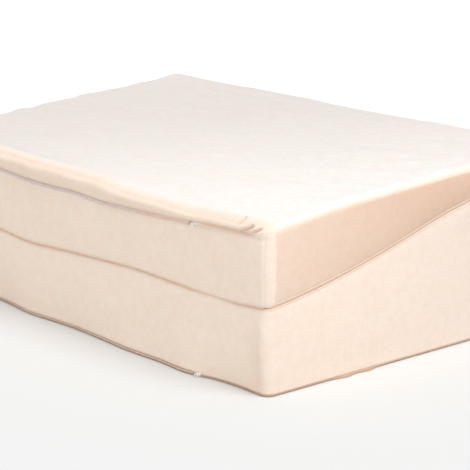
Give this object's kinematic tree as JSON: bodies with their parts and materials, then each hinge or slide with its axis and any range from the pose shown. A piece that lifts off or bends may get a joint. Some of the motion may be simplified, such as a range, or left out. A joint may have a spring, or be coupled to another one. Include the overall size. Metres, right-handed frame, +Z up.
{
  "type": "folding wedge pillow",
  "caption": "Foam bed wedge in a peach velour cover, cut in two zipped halves joined by a cloth hinge, with the thin half folded over onto the thick half.",
  "frame": {"origin": "middle of the part's box, on the surface that it rests on", "axes": "+Z up; +X across the bed, the long side of the folded block; -Y the front, where the two halves are joined and the zips are; +Y the back, where the thick half is tallest"},
  "size_m": [0.6164, 0.4044, 0.199],
  "materials": {
    "cover": "short matt velour",
    "zip": "woven tape with a coil chain",
    "slider": "white enamel"
  },
  "bodies": {
    "root": {"thick_half": "cover", "thin_half": "cover", "hinge_strip": "cover", "upper_zip": "zip", "lower_zip": "zip", "upper_slider": "slider", "lower_slider": "slider", "upper_pull": "slider", "lower_pull": "slider"}
  },
  "joints": []
}
